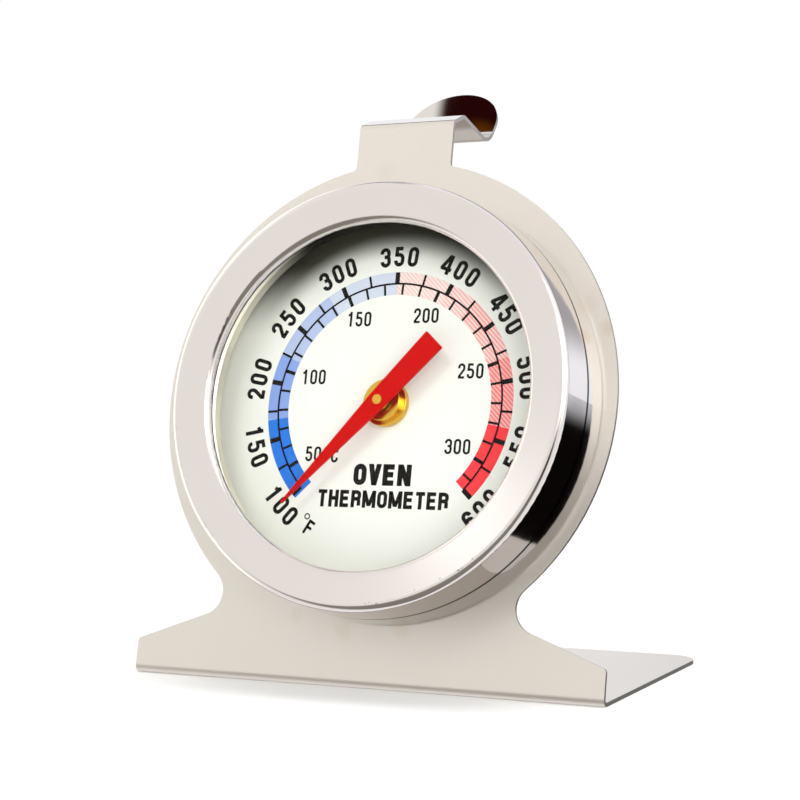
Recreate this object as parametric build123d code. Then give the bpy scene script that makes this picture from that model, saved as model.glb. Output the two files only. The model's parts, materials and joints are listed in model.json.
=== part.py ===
"""Dial oven thermometer on a stamped sheet-metal stand with a rack hook.

All sizes are millimetres.  Three frames are used:

  case frame   the axis of the round case is +Z and points out of the dial, +Y is up the dial,
               and the origin is where that axis meets the front face of the stand;
  plate frame  +X right, +Z up the stand's plate, the plate's front face is at Y = 0 and the dial
               faces -Y, and the origin is where that face would meet the underside of the foot;
  row frame    the foot is flat on Z = 0, the plate leans back, and the origin is the middle of
               the underside of the bounding box.
"""
import math
import os

from build123d import *

# ---------------------------------------------------------------- stand (one stamped sheet)
LEAN = 12.4                 # the plate leans back this many degrees
STAND_SHEET = 0.5
DISC_MARGIN = 4.0           # the plate's disc is this much larger in radius than the case
DISC_BOTTOM = 4.85          # lowest point of the disc's circle, up the plate
BASE_HALF_WIDTH = 31.4
BASE_END_HEIGHT = 4.4       # upright end of each base arm
BASE_SLOPE = 20.2           # degrees, top edge of each base arm
BASE_CORNER_RADIUS = 0.6
NOTCH_RADIUS = 3.0          # between the disc and each base arm
FOOT_LENGTH = 38.1
FOOT_CORNER_RADIUS = 4.0
FOOT_BEND = 0.9             # outside radius
TAB_HALF_WIDTH = 6.53
TAB_LENGTH = 5.25           # from the top of the disc's circle
TAB_ROOT_RADIUS = 0.6
TAB_BEND = 0.8              # outside radius
HOOK_RISE = 30.5            # degrees, first stretch behind the tab
HOOK_RISE_REACH = 2.88
HOOK_DIP = 6.1              # degrees, down to the valley
HOOK_REACH = 11.11          # plate face to the valley
HOOK_CREST_BEND = 1.2
HOOK_VALLEY_BEND = 3.0
HOOK_TONGUE_ANGLE = 59.6    # degrees
HOOK_TONGUE_LENGTH = 9.87
HOOK_TONGUE_ROUND = 0.999   # end radius as a share of half the width: all but a half circle

# ---------------------------------------------------------------- place of the case on the stand
CASE_OFFSET = 2.45          # the case sits this far right of the stand's centre line
CASE_DROP = 1.05            # and this far below the disc's centre

# ---------------------------------------------------------------- case and bezel
CASE_SHEET = 0.4
CASE_RADIUS = 26.5
CASE_TAPER = 0.3            # the wall is this much smaller at the seam
CASE_CORNER_RADIUS = 0.8
SEAM_GAP = 0.12
RIM_LAP = 0.6               # the case's rim reaches this far into the bezel
RIM_CLEARANCE = 0.06        # case rim inside the bezel skirt
BEZEL_SHEET = 0.4
BEZEL_FLARE = 0.32          # the skirt grows by this much from the shoulder down to the seam
BEZEL_FACE_WIDTH = 4.88     # from the skirt's outside to the opening
BEZEL_DISH = 9.0            # degrees, the face slopes in towards the glass
BEZEL_SHOULDER_RADIUS = 0.8
BEZEL_LIP_RADIUS = 0.8
LIP_DEPTH = 0.83            # from the face's inner edge down to the lip's end

# ---------------------------------------------------------------- glass and its rings
GASKET_THICKNESS = 0.35
GLASS_THICKNESS = 2.0
GLASS_CLEARANCE = 0.3       # glass inside the bezel skirt
LENS_RING_WIDTH = 3.35
LENS_RING_THICKNESS = 1.6
LENS_RING_CHAMFER = 0.3

# ---------------------------------------------------------------- dial and movement
DIAL_SHEET = 0.3
DIAL_CLEARANCE = 0.25       # dial and spacer inside the case's rim
DIAL_RECESS = 2.45          # from the printed face up to the end of the case's rim
SPACER_WIDTH = 1.25
SPINDLE_RADIUS = 0.6
SPINDLE_CLEARANCE = 0.05    # running fit in both bushes
SPINDLE_PROUD = 0.18        # above the pointer
SPINDLE_FOOT = -0.45
BUSH_FLANGE_WIDTH = 1.4     # flange, nose, shank and peen stand this far out from the shank or bore
BUSH_FLANGE_THICKNESS = 0.85
BUSH_NOSE_WALL = 1.7
BUSH_NOSE_LENGTH = 0.8
BUSH_WALL = 0.85
BUSH_PEEN_WIDTH = 0.4
BUSH_PEEN_THICKNESS = 0.15
BUSH_EDGE_RADIUS = 0.12
HOLE_CLEARANCE = 0.05       # shanks in their sheet-metal holes
REAR_WALL = 0.95
REAR_FLANGE_WIDTH = 0.8
REAR_FLANGE_THICKNESS = 0.25
REAR_HEAD_WIDTH = 1.1
REAR_HEAD_THICKNESS = 0.55
REAR_HEAD_EDGE_RADIUS = 0.3
WASHER_WALL = 0.65
WASHER_THICKNESS = 0.12
END_PLAY = 0.1
HUB_CLEARANCE = 0.18        # coil hub under the bush's peened end
BRIDGE_SHEET = 0.35
BRIDGE_WIDTH = 7.0
BRIDGE_CLEARANCE = 1.95     # each leg clear of the coil
BRIDGE_FOOT_LENGTH = 4.6
BRIDGE_BEND = 0.55          # outside radius
RIVET_SHANK_RADIUS = 0.9
RIVET_HEAD_RADIUS = 1.7
RIVET_HEAD_THICKNESS = 0.6
RIVET_TAIL_THICKNESS = 0.4
RIVET_INSET = 1.84          # from the end of each bridge foot

# ---------------------------------------------------------------- bimetal coil
STRIP_THICKNESS = 0.2
STRIP_WIDTH = 1.05
COIL_INNER_RADIUS = 2.0
COIL_PITCH = 0.95
COIL_TURNS = 8              # whole turns, then one more half turn
COIL_END_LENGTH = 1.6       # straight outer end, held by the anchor
COIL_HUB_WALL = 0.9
COIL_HUB_MARGIN = 0.05      # hub stands this much proud of the strip, each side
HUB_SLOT_CLEARANCE = 0.06
HUB_SLOT_FLOOR = 0.2        # metal left between the slot and the spindle
ANCHOR_SHEET = 0.4
ANCHOR_WIDTH = 3.0
ANCHOR_FOOT = 3.0
ANCHOR_MARGIN = 0.15        # anchor stands this much above the strip
ANCHOR_RIVET_RADIUS = 0.6
ANCHOR_HEAD_RADIUS = 1.0
ANCHOR_HEAD_THICKNESS = 0.35

# ---------------------------------------------------------------- pointer
POINTER_SHEET = 0.3
POINTER_ANGLE = -137.3      # clockwise from the top of the dial
POINTER_CLEARANCE = 4.4     # its tip short of the lens ring
POINTER_TIP_HALF_WIDTH = 0.12
POINTER_TAIL = 10.0
POINTER_TAIL_HALF_WIDTH = 1.48
POINTER_WAIST_HALF_WIDTH = 1.22
POINTER_CORNER_RADIUS = 0.15
COLLET_WALL = 0.5
COLLET_LENGTH = 0.55
COLLET_GAP = 0.3            # collet clear of the bush's nose

MARGIN = 1.0                # cutting shapes run past the sheet by this much

# ---------------------------------------------------------------- plate, worked out from the above
DISC_RADIUS = CASE_RADIUS + DISC_MARGIN
DISC_HEIGHT = DISC_BOTTOM + DISC_RADIUS
CASE_HEIGHT = DISC_HEIGHT - CASE_DROP
TAB_HEIGHT = DISC_HEIGHT + DISC_RADIUS + TAB_LENGTH
STAND_BACK = -STAND_SHEET

# ---------------------------------------------------------------- heights above the plate, from the floor up
BORE_RADIUS = SPINDLE_RADIUS + SPINDLE_CLEARANCE
REAR_FLANGE_TOP = CASE_SHEET + REAR_FLANGE_THICKNESS
WASHER_TOP = REAR_FLANGE_TOP + WASHER_THICKNESS
HUB_BOTTOM = WASHER_TOP + END_PLAY
STRIP_BOTTOM = HUB_BOTTOM + COIL_HUB_MARGIN
STRIP_TOP = STRIP_BOTTOM + STRIP_WIDTH
HUB_TOP = STRIP_TOP + COIL_HUB_MARGIN
BRIDGE_UNDERSIDE = HUB_TOP + HUB_CLEARANCE + BUSH_PEEN_THICKNESS
DIAL_BACK = BRIDGE_UNDERSIDE + BRIDGE_SHEET
DIAL_HEIGHT = DIAL_BACK + DIAL_SHEET
BUSH_STEP = DIAL_HEIGHT + BUSH_FLANGE_THICKNESS
BUSH_TOP = BUSH_STEP + BUSH_NOSE_LENGTH
POINTER_HEIGHT = BUSH_TOP + COLLET_GAP + COLLET_LENGTH
SPINDLE_TOP = POINTER_HEIGHT + POINTER_SHEET + SPINDLE_PROUD
RIM_HEIGHT = DIAL_HEIGHT + DIAL_RECESS
SEAM_HEIGHT = RIM_HEIGHT - RIM_LAP
GLASS_UNDERSIDE = RIM_HEIGHT + LENS_RING_THICKNESS
GLASS_TOP = GLASS_UNDERSIDE + GLASS_THICKNESS
LIP_END_HEIGHT = GLASS_TOP + GASKET_THICKNESS
BEZEL_DROP = BEZEL_FACE_WIDTH * math.tan(math.radians(BEZEL_DISH))
BEZEL_FACE_HEIGHT = LIP_END_HEIGHT + LIP_DEPTH + BEZEL_DROP

# ---------------------------------------------------------------- radii, from the case inwards
SEAM_RADIUS = CASE_RADIUS - CASE_TAPER
BEZEL_RADIUS = SEAM_RADIUS - BEZEL_FLARE
OPENING_RADIUS = BEZEL_RADIUS - BEZEL_FACE_WIDTH
SKIRT_INNER_RADIUS = BEZEL_RADIUS - BEZEL_SHEET
GLASS_RADIUS = SKIRT_INNER_RADIUS - GLASS_CLEARANCE
LENS_RING_INNER_RADIUS = GLASS_RADIUS - LENS_RING_WIDTH
RIM_RADIUS = SKIRT_INNER_RADIUS - RIM_CLEARANCE
DIAL_RADIUS = RIM_RADIUS - CASE_SHEET - DIAL_CLEARANCE
POINTER_TIP = LENS_RING_INNER_RADIUS - POINTER_CLEARANCE
COIL_HALF_TURNS = 2 * COIL_TURNS + 1
COIL_END_RADIUS = COIL_INNER_RADIUS + COIL_TURNS * COIL_PITCH
ANCHOR_FACE = COIL_END_RADIUS + STRIP_THICKNESS / 2
COIL_START = 90             # degrees, turns the coil so that its outer end is at the bottom
BRIDGE_HALF_SPAN = ANCHOR_FACE + BRIDGE_CLEARANCE + BRIDGE_SHEET
RIVET_REACH = BRIDGE_HALF_SPAN - BRIDGE_SHEET + BRIDGE_FOOT_LENGTH - RIVET_INSET
BUSH_SHANK_RADIUS = BORE_RADIUS + BUSH_WALL
REAR_SHANK_RADIUS = BORE_RADIUS + REAR_WALL
COIL_HUB_RADIUS = SPINDLE_RADIUS + COIL_HUB_WALL


# ---------------------------------------------------------------- outlines
def cross(a, b):
    return a[0] * b[1] - a[1] * b[0]


def unit(a, b):
    """Unit vector from point a to point b."""
    length = math.dist(a, b)
    return ((b[0] - a[0]) / length, (b[1] - a[1]) / length)


def polar(distance, angle):
    """Vector of a length at an angle in degrees from the first axis."""
    return (distance * math.cos(math.radians(angle)), distance * math.sin(math.radians(angle)))


def shift(point, vector):
    return (point[0] + vector[0], point[1] + vector[1])


def rounded_outline(corners):
    """Closed face through corners (x, y, radius), with an arc of that radius at each corner."""
    stretches = []
    for index, (x, y, radius) in enumerate(corners):
        before = unit(corners[index - 1][:2], (x, y))
        after = unit((x, y), corners[(index + 1) % len(corners)][:2])
        turn = math.atan2(cross(before, after), before[0] * after[0] + before[1] * after[1])
        if radius <= 0 or abs(turn) < 1e-6:
            stretches.append([(x, y)])
            continue
        run = radius * math.tan(abs(turn) / 2)
        start = (x - before[0] * run, y - before[1] * run)
        end = (x + after[0] * run, y + after[1] * run)
        middle_run = radius / math.cos(turn / 2) - radius
        inward = (after[0] - before[0], after[1] - before[1])
        size = math.hypot(*inward)
        middle = (x + inward[0] / size * middle_run, y + inward[1] / size * middle_run)
        stretches.append([start, middle, end])
    edges = []
    for index, stretch in enumerate(stretches):
        if len(stretch) == 3:
            edges.append(Edge.make_three_point_arc(*[(x, y, 0) for x, y in stretch]))
        following = stretches[(index + 1) % len(stretches)]
        if math.dist(stretch[-1], following[0]) > 1e-6:
            edges.append(Edge.make_line((*stretch[-1], 0), (*following[0], 0)))
    return Face(Wire(edges))


def offset_path(points, distance):
    """Open polyline moved to its own left by a distance."""
    directions = [unit(a, b) for a, b in zip(points, points[1:])]
    moved = []
    for index, (x, y) in enumerate(points):
        before = directions[max(index - 1, 0)]
        after = directions[min(index, len(directions) - 1)]
        lean = 1 + before[0] * after[0] + before[1] * after[1]
        normal = (-(before[1] + after[1]) / lean, (before[0] + after[0]) / lean)
        moved.append((x + normal[0] * distance, y + normal[1] * distance))
    return moved


def sheet_outline(path, thickness):
    """Section of a bent sheet: path is (x, y, radius) along its right-hand side."""
    points = [corner[:2] for corner in path]
    radii = [corner[2] for corner in path]
    left = offset_path(points, thickness)
    left_radii = []
    for index, radius in enumerate(radii):
        if radius <= 0:
            left_radii.append(0)
            continue
        before = unit(points[index - 1], points[index])
        after = unit(points[index], points[index + 1])
        side = 1 if cross(before, after) > 0 else -1
        left_radii.append(max(radius - side * thickness, 0))
    there = [(x, y, radius) for (x, y), radius in zip(points, radii)]
    back = [(x, y, radius) for (x, y), radius in zip(left, left_radii)]
    return rounded_outline(there + back[::-1])


def turned(face):
    """Solid of revolution about the case axis, from a face drawn as (radius, height)."""
    return revolve(Plane.XZ * face, axis=Axis.Z)


def ring(inner, outer, bottom, top):
    """Plain turned ring or, with inner 0, a disc."""
    solid = Pos(0, 0, (bottom + top) / 2) * Cylinder(outer, top - bottom)
    if inner > 0:
        solid -= Pos(0, 0, (bottom + top) / 2) * Cylinder(inner, 2 * (top - bottom))
    return solid


def domed_ring(inner, outer, flat, crown):
    """Rivet head whose rounded side is at height crown and whose flat side is at height flat."""
    soft = 0.8 * min(abs(crown - flat), outer - inner)
    low_radius = soft if crown < flat else 0
    high_radius = soft if crown > flat else 0
    bottom, top = min(flat, crown), max(flat, crown)
    corners = [(inner, bottom, 0), (outer, bottom, low_radius), (outer, top, high_radius), (inner, top, 0)]
    return turned(rounded_outline(corners))


# ---------------------------------------------------------------- frames
def case_frame():
    return Location((CASE_OFFSET, 0, CASE_HEIGHT), (90, 0, 0))


def row_frame(shapes):
    """Leans the plate back and brings the middle of the bounding box's underside to the origin."""
    leaned = Compound(children=[Rot(-LEAN, 0, 0) * shape for shape in shapes]).bounding_box()
    return Pos(-leaned.center().X, -leaned.center().Y, -leaned.min.Z) * Rot(-LEAN, 0, 0)


# ---------------------------------------------------------------- stand
def hook_path():
    """Right-hand side of the hook's section in the plate frame's (Y, Z), from the tab's top."""
    top = (0, TAB_HEIGHT)
    crest = (HOOK_RISE_REACH, TAB_HEIGHT + HOOK_RISE_REACH * math.tan(math.radians(HOOK_RISE)))
    dip = HOOK_REACH - HOOK_RISE_REACH
    valley = (HOOK_REACH, crest[1] - dip * math.tan(math.radians(HOOK_DIP)))
    end = shift(valley, polar(HOOK_TONGUE_LENGTH, HOOK_TONGUE_ANGLE))
    return top, crest, valley, end


def stand_section():
    """Side view of the whole sheet in (Y, Z), from the back of the foot to the hook's tongue."""
    top, crest, valley, end = hook_path()
    path = [
        (*polar(FOOT_LENGTH, LEAN), 0),
        (0, 0, FOOT_BEND),
        (*top, TAB_BEND),
        (*crest, HOOK_CREST_BEND + STAND_SHEET),
        (*valley, HOOK_VALLEY_BEND),
        (*end, 0),
    ]
    return sheet_outline(path, -STAND_SHEET)


def plate_outline():
    """Front view of the plate in (X, Z): base arms, disc and tab."""
    shoulder = math.tan(math.radians(BASE_SLOPE))
    inner = DISC_RADIUS / 2
    inner_height = BASE_END_HEIGHT + (BASE_HALF_WIDTH - inner) * shoulder
    base = rounded_outline([
        (-BASE_HALF_WIDTH, -MARGIN, 0),
        (BASE_HALF_WIDTH, -MARGIN, 0),
        (BASE_HALF_WIDTH, BASE_END_HEIGHT, BASE_CORNER_RADIUS),
        (inner, inner_height, 0),
        (-inner, inner_height, 0),
        (-BASE_HALF_WIDTH, BASE_END_HEIGHT, BASE_CORNER_RADIUS),
    ])
    tab_top = TAB_HEIGHT + MARGIN
    tab = Pos(0, (DISC_HEIGHT + tab_top) / 2) * Rectangle(2 * TAB_HALF_WIDTH, tab_top - DISC_HEIGHT)
    outline = Pos(0, DISC_HEIGHT) * Circle(DISC_RADIUS) + base + tab
    notch_reach = BASE_HALF_WIDTH - 1.5 * BASE_CORNER_RADIUS
    notches = outline.vertices().filter_by(
        lambda v: TAB_HALF_WIDTH < abs(v.X) < notch_reach and 0 < v.Y < DISC_HEIGHT)
    outline = fillet(notches, NOTCH_RADIUS)
    roots = outline.vertices().filter_by(
        lambda v: abs(abs(v.X) - TAB_HALF_WIDTH) < 1e-3 and v.Y < TAB_HEIGHT - TAB_ROOT_RADIUS)
    return fillet(roots, TAB_ROOT_RADIUS)


def stand_bracket():
    width = BASE_HALF_WIDTH + MARGIN
    section = Pos(-width, 0, 0) * (Plane.YZ * stand_section())
    ribbon = extrude(section, 2 * width, dir=(1, 0, 0))

    depth = STAND_SHEET + 2 * MARGIN
    front_view = Pos(0, -MARGIN, 0) * (Plane.XZ * plate_outline())
    plate_zone = extrude(front_view, depth, dir=(0, 1, 0))

    foot = rounded_outline([
        (-BASE_HALF_WIDTH, -MARGIN, 0),
        (BASE_HALF_WIDTH, -MARGIN, 0),
        (BASE_HALF_WIDTH, FOOT_LENGTH, FOOT_CORNER_RADIUS),
        (-BASE_HALF_WIDTH, FOOT_LENGTH, FOOT_CORNER_RADIUS),
    ])
    foot_zone = Rot(LEAN, 0, 0) * (Pos(0, 0, -MARGIN) * extrude(foot, MARGIN + 2 * FOOT_BEND))

    top, crest, valley, end = hook_path()
    neck_bottom = TAB_HEIGHT - TAB_BEND
    tongue = rounded_outline([
        (-TAB_HALF_WIDTH, -HOOK_VALLEY_BEND, 0),
        (TAB_HALF_WIDTH, -HOOK_VALLEY_BEND, 0),
        (TAB_HALF_WIDTH, HOOK_TONGUE_LENGTH, HOOK_TONGUE_ROUND * TAB_HALF_WIDTH),
        (-TAB_HALF_WIDTH, HOOK_TONGUE_LENGTH, HOOK_TONGUE_ROUND * TAB_HALF_WIDTH),
    ])
    tongue_zone = Pos(0, 0, -HOOK_VALLEY_BEND) * extrude(tongue, 2 * HOOK_VALLEY_BEND)
    tongue_zone = Pos(0, *valley) * Rot(HOOK_TONGUE_ANGLE, 0, 0) * tongue_zone
    neck_height = crest[1] + MARGIN - neck_bottom
    neck_zone = Pos(0, (HOOK_REACH - MARGIN) / 2, neck_bottom + neck_height / 2) * Box(
        2 * TAB_HALF_WIDTH, HOOK_REACH + MARGIN, neck_height)
    sheet = ribbon & (plate_zone + foot_zone + neck_zone + tongue_zone)

    return sheet - case_frame() * floor_holes(-2 * STAND_SHEET, STAND_SHEET)


# ---------------------------------------------------------------- fasteners shared by several pieces
def rivet_shanks(radius, bottom, top):
    shank = ring(0, radius, bottom, top)
    return Pos(-RIVET_REACH, 0, 0) * shank + Pos(RIVET_REACH, 0, 0) * shank


def anchor_centre():
    """Axis of the anchor's rivet, in the middle of the anchor's foot."""
    return (0, -(ANCHOR_FACE + ANCHOR_SHEET + ANCHOR_FOOT / 2))


def anchor_shank(radius, bottom, top):
    return Pos(*anchor_centre(), 0) * ring(0, radius, bottom, top)


def floor_holes(bottom, top):
    return (ring(0, REAR_SHANK_RADIUS + HOLE_CLEARANCE, bottom, top)
            + rivet_shanks(RIVET_SHANK_RADIUS + HOLE_CLEARANCE, bottom, top)
            + anchor_shank(ANCHOR_RIVET_RADIUS + HOLE_CLEARANCE, bottom, top))


# ---------------------------------------------------------------- case
def case_cup():
    step = SEAM_HEIGHT - SEAM_GAP
    section = sheet_outline([
        (0, 0, 0),
        (CASE_RADIUS, 0, CASE_CORNER_RADIUS),
        (SEAM_RADIUS, step, 0),
        (RIM_RADIUS, step, 0),
        (RIM_RADIUS, RIM_HEIGHT, 0),
    ], CASE_SHEET)
    return turned(section) - floor_holes(-CASE_SHEET, 2 * CASE_SHEET)


def bezel_ring():
    """Rolled sheet: skirt, rounded shoulder, dished face and turned-in lip round the opening."""
    section = sheet_outline([
        (SEAM_RADIUS, SEAM_HEIGHT, 0),
        (BEZEL_RADIUS, BEZEL_FACE_HEIGHT - BEZEL_SHOULDER_RADIUS, 0),
        (BEZEL_RADIUS, BEZEL_FACE_HEIGHT, BEZEL_SHOULDER_RADIUS),
        (OPENING_RADIUS, BEZEL_FACE_HEIGHT - BEZEL_DROP, BEZEL_LIP_RADIUS),
        (OPENING_RADIUS, LIP_END_HEIGHT, 0),
    ], BEZEL_SHEET)
    return turned(section)


def lens_gasket():
    return ring(OPENING_RADIUS + RIM_CLEARANCE, GLASS_RADIUS, GLASS_TOP, LIP_END_HEIGHT)


def glass_lens():
    return ring(0, GLASS_RADIUS, GLASS_UNDERSIDE, GLASS_TOP)


def lens_ring():
    section = rounded_outline([
        (LENS_RING_INNER_RADIUS, RIM_HEIGHT, 0),
        (GLASS_RADIUS, RIM_HEIGHT, 0),
        (GLASS_RADIUS, GLASS_UNDERSIDE, 0),
        (LENS_RING_INNER_RADIUS + LENS_RING_CHAMFER, GLASS_UNDERSIDE, 0),
        (LENS_RING_INNER_RADIUS, GLASS_UNDERSIDE - LENS_RING_CHAMFER, 0),
    ])
    return turned(section)


# ---------------------------------------------------------------- dial and movement
def dial_spacer():
    return ring(DIAL_RADIUS - SPACER_WIDTH, DIAL_RADIUS, CASE_SHEET, DIAL_BACK)


def dial_plate():
    return ring(BUSH_SHANK_RADIUS + HOLE_CLEARANCE, DIAL_RADIUS, DIAL_BACK, DIAL_HEIGHT)


def dial_bush():
    """Turned brass: two-step head on the dial, shank through dial and bridge, peened under it."""
    peen_bottom = BRIDGE_UNDERSIDE - BUSH_PEEN_THICKNESS
    peen_radius = BUSH_SHANK_RADIUS + BUSH_PEEN_WIDTH
    flange_radius = BUSH_SHANK_RADIUS + BUSH_FLANGE_WIDTH
    nose_radius = BORE_RADIUS + BUSH_NOSE_WALL
    section = rounded_outline([
        (BORE_RADIUS, peen_bottom, 0),
        (peen_radius, peen_bottom, 0),
        (peen_radius, BRIDGE_UNDERSIDE, 0),
        (BUSH_SHANK_RADIUS, BRIDGE_UNDERSIDE, 0),
        (BUSH_SHANK_RADIUS, DIAL_HEIGHT, 0),
        (flange_radius, DIAL_HEIGHT, 0),
        (flange_radius, BUSH_STEP, BUSH_EDGE_RADIUS),
        (nose_radius, BUSH_STEP, 0),
        (nose_radius, BUSH_TOP, BUSH_EDGE_RADIUS),
        (BORE_RADIUS, BUSH_TOP, 0),
    ])
    return turned(section)


def movement_bridge():
    foot_end = BRIDGE_HALF_SPAN - BRIDGE_SHEET + BRIDGE_FOOT_LENGTH
    top = DIAL_BACK
    low = CASE_SHEET + BRIDGE_SHEET
    section = sheet_outline([
        (-foot_end, low, 0),
        (-BRIDGE_HALF_SPAN, low, BRIDGE_BEND - BRIDGE_SHEET),
        (-BRIDGE_HALF_SPAN, top, BRIDGE_BEND),
        (BRIDGE_HALF_SPAN, top, BRIDGE_BEND),
        (BRIDGE_HALF_SPAN, low, BRIDGE_BEND - BRIDGE_SHEET),
        (foot_end, low, 0),
    ], -BRIDGE_SHEET)
    upright = section.moved(Location((0, BRIDGE_WIDTH / 2, 0), (90, 0, 0)))
    strap = extrude(upright, BRIDGE_WIDTH, dir=(0, -1, 0))
    strap -= ring(0, BUSH_SHANK_RADIUS + HOLE_CLEARANCE, BRIDGE_UNDERSIDE - MARGIN, top + MARGIN)
    return strap - rivet_shanks(RIVET_SHANK_RADIUS + HOLE_CLEARANCE, 0, low + MARGIN)


def case_rivets():
    """Two rivets through the bridge's feet, the case floor and the stand."""
    top = CASE_SHEET + BRIDGE_SHEET
    shanks = rivet_shanks(RIVET_SHANK_RADIUS, STAND_BACK, top)
    tail = domed_ring(0, RIVET_SHANK_RADIUS + RIVET_TAIL_THICKNESS, top, top + RIVET_TAIL_THICKNESS)
    head = domed_ring(0, RIVET_HEAD_RADIUS, STAND_BACK, STAND_BACK - RIVET_HEAD_THICKNESS)
    ends = tail + head
    return shanks + Pos(-RIVET_REACH, 0, 0) * ends + Pos(RIVET_REACH, 0, 0) * ends


def rear_bush():
    """Blind brass bearing that also rivets the case to the stand at its centre."""
    head = STAND_BACK - REAR_HEAD_THICKNESS
    head_radius = REAR_SHANK_RADIUS + REAR_HEAD_WIDTH
    flange_radius = REAR_SHANK_RADIUS + REAR_FLANGE_WIDTH
    bore_floor = SPINDLE_FOOT - END_PLAY
    section = rounded_outline([
        (0, head, 0),
        (head_radius, head, REAR_HEAD_EDGE_RADIUS),
        (head_radius, STAND_BACK, 0),
        (REAR_SHANK_RADIUS, STAND_BACK, 0),
        (REAR_SHANK_RADIUS, CASE_SHEET, 0),
        (flange_radius, CASE_SHEET, 0),
        (flange_radius, REAR_FLANGE_TOP, 0),
        (BORE_RADIUS, REAR_FLANGE_TOP, 0),
        (BORE_RADIUS, bore_floor, 0),
        (0, bore_floor, 0),
    ])
    return turned(section)


def thrust_washer():
    return ring(BORE_RADIUS, BORE_RADIUS + WASHER_WALL, REAR_FLANGE_TOP, WASHER_TOP)


def spindle():
    return ring(0, SPINDLE_RADIUS, SPINDLE_FOOT, SPINDLE_TOP)


def hub_slot(clearance):
    """Slot that takes the strip's inner end, or the end itself when the clearance is 0."""
    width = STRIP_THICKNESS + 2 * clearance
    start = SPINDLE_RADIUS + HUB_SLOT_FLOOR + (0 if clearance else HUB_SLOT_CLEARANCE)
    end = COIL_INNER_RADIUS + STRIP_THICKNESS / 2
    bottom = HUB_BOTTOM - MARGIN if clearance else STRIP_BOTTOM
    top = HUB_TOP + MARGIN if clearance else STRIP_TOP
    slot = Pos((start + end) / 2, 0, (bottom + top) / 2) * Box(end - start, width, top - bottom)
    return Rot(0, 0, COIL_START) * slot


def coil_hub():
    return ring(SPINDLE_RADIUS, COIL_HUB_RADIUS, HUB_BOTTOM, HUB_TOP) - hub_slot(HUB_SLOT_CLEARANCE)


def spiral_side(growth):
    """One face of the strip: half turns whose centres swap sides, so each joins the next smoothly."""
    step = COIL_PITCH / 2
    edges = []
    for index in range(COIL_HALF_TURNS):
        side = 1 if index % 2 == 0 else -1
        centre = 0 if index % 2 == 0 else step
        radius = COIL_INNER_RADIUS + index * step + growth
        start = (centre + side * radius, 0, 0)
        middle = (centre, side * radius, 0)
        end = (centre - side * radius, 0, 0)
        edges.append(Edge.make_three_point_arc(start, middle, end))
    last = edges[-1] @ 1
    edges.append(Edge.make_line(last, (last.X, -COIL_END_LENGTH, 0)))
    return edges


def bimetal_coil():
    inner = spiral_side(-STRIP_THICKNESS / 2)
    outer = spiral_side(STRIP_THICKNESS / 2)
    start = Edge.make_line(inner[0] @ 0, outer[0] @ 0)
    end = Edge.make_line(inner[-1] @ 1, outer[-1] @ 1)
    section = Rot(0, 0, COIL_START) * Face(Wire(inner + [end] + outer[::-1] + [start]))
    strip = Pos(0, 0, STRIP_BOTTOM) * extrude(section, STRIP_WIDTH, dir=(0, 0, 1))
    return strip + hub_slot(0)


def coil_anchor():
    """Angle piece: its upright holds the coil's outer end, its foot is riveted to the floor."""
    top = STRIP_TOP + ANCHOR_MARGIN
    section = sheet_outline([
        (-ANCHOR_FACE, top, 0),
        (-ANCHOR_FACE, CASE_SHEET, 2 * ANCHOR_SHEET),
        (-ANCHOR_FACE - ANCHOR_SHEET - ANCHOR_FOOT, CASE_SHEET, 0),
    ], -ANCHOR_SHEET)
    angle = extrude(Pos(-ANCHOR_WIDTH / 2, 0, 0) * (Plane.YZ * section), ANCHOR_WIDTH, dir=(1, 0, 0))
    return angle - anchor_shank(ANCHOR_RIVET_RADIUS + HOLE_CLEARANCE, 0, top)


def anchor_rivet():
    top = CASE_SHEET + ANCHOR_SHEET
    tail = domed_ring(0, ANCHOR_HEAD_RADIUS, top, top + ANCHOR_HEAD_THICKNESS)
    head = domed_ring(0, ANCHOR_HEAD_RADIUS, STAND_BACK, STAND_BACK - ANCHOR_HEAD_THICKNESS)
    return anchor_shank(ANCHOR_RIVET_RADIUS, STAND_BACK, top) + Pos(*anchor_centre(), 0) * (tail + head)


# ---------------------------------------------------------------- pointer
def pointer_collet():
    return ring(SPINDLE_RADIUS, SPINDLE_RADIUS + COLLET_WALL, BUSH_TOP + COLLET_GAP, POINTER_HEIGHT)


def pointer():
    blade = rounded_outline([
        (-POINTER_TAIL_HALF_WIDTH, -POINTER_TAIL, POINTER_CORNER_RADIUS),
        (POINTER_TAIL_HALF_WIDTH, -POINTER_TAIL, POINTER_CORNER_RADIUS),
        (POINTER_WAIST_HALF_WIDTH, 0, 0),
        (POINTER_TIP_HALF_WIDTH, POINTER_TIP, 0),
        (-POINTER_TIP_HALF_WIDTH, POINTER_TIP, 0),
        (-POINTER_WAIST_HALF_WIDTH, 0, 0),
    ])
    sheet = Pos(0, 0, POINTER_HEIGHT) * extrude(blade, POINTER_SHEET, dir=(0, 0, 1))
    sheet -= ring(0, SPINDLE_RADIUS, POINTER_HEIGHT - MARGIN, POINTER_HEIGHT + MARGIN)
    return Rot(0, 0, -POINTER_ANGLE) * sheet


# ---------------------------------------------------------------- assembly
CASE_PIECES = [
    case_cup, case_rivets, rear_bush, bezel_ring, lens_gasket, glass_lens, lens_ring,
    dial_spacer, dial_plate, dial_bush, movement_bridge, thrust_washer, spindle,
    coil_hub, bimetal_coil, coil_anchor, anchor_rivet, pointer_collet, pointer,
]


def assembly():
    """Every piece by node name, in the row frame."""
    pieces = {"stand_bracket": stand_bracket()}
    for build in CASE_PIECES:
        pieces[build.__name__] = case_frame() * build()
    frame = row_frame(list(pieces.values()))
    return {name: frame * shape for name, shape in pieces.items()}


os.makedirs("parts", exist_ok=True)
for name, shape in assembly().items():
    export_step(shape, f"parts/{name}.step")
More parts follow.
